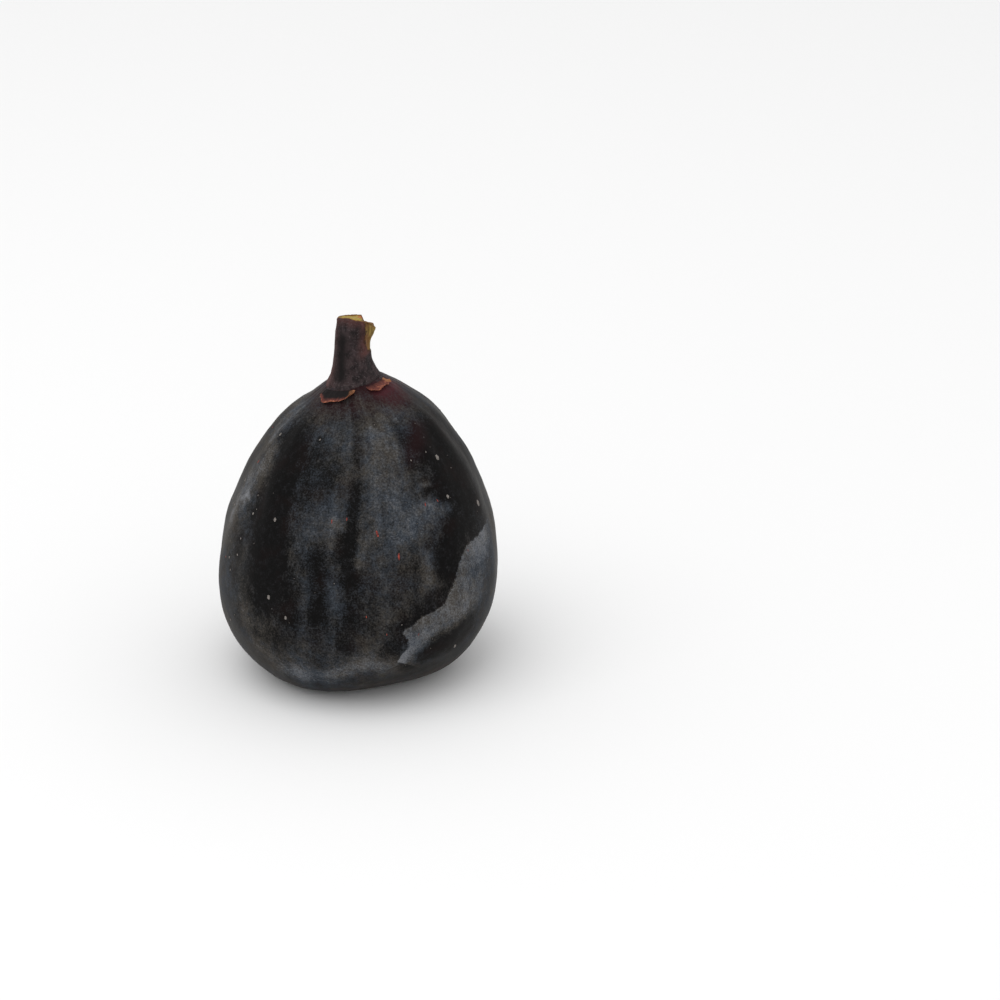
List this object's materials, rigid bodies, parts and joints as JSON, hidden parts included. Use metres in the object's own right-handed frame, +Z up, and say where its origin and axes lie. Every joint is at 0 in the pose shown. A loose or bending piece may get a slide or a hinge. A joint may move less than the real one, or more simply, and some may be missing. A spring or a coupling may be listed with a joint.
{
  "type": "fresh fig",
  "caption": "Whole fresh black fig standing on its flattened base, with a cut stalk, basal bracts under it and a scaled eye beneath.",
  "frame": {"origin": "middle of the fig's box seen from above, on the plane it rests on", "axes": "+Z up from the resting plane to the cut end of the stalk, +X to the fig's right and -Y to its front"},
  "size_m": [0.0542, 0.055, 0.0714],
  "materials": {
    "fig_skin": "near-black fruit skin, satin where wiped and dull grey-blue where the bloom is left",
    "stalk": "dull dark brown woody stalk with a pale yellow-green cut end",
    "bract": "dry red-brown papery scale with an orange-brown torn edge",
    "eye_scale": "dull wine-brown scale, paler and drier towards its tip"
  },
  "bodies": {
    "root": {"fruit": "fig_skin", "stalk": "stalk", "bract_front_left": "bract", "bract_right": "bract", "bract_back": "bract", "eye_scale_1": "eye_scale", "eye_scale_2": "eye_scale", "eye_scale_3": "eye_scale", "eye_scale_4": "eye_scale", "eye_scale_5": "eye_scale"}
  },
  "joints": []
}
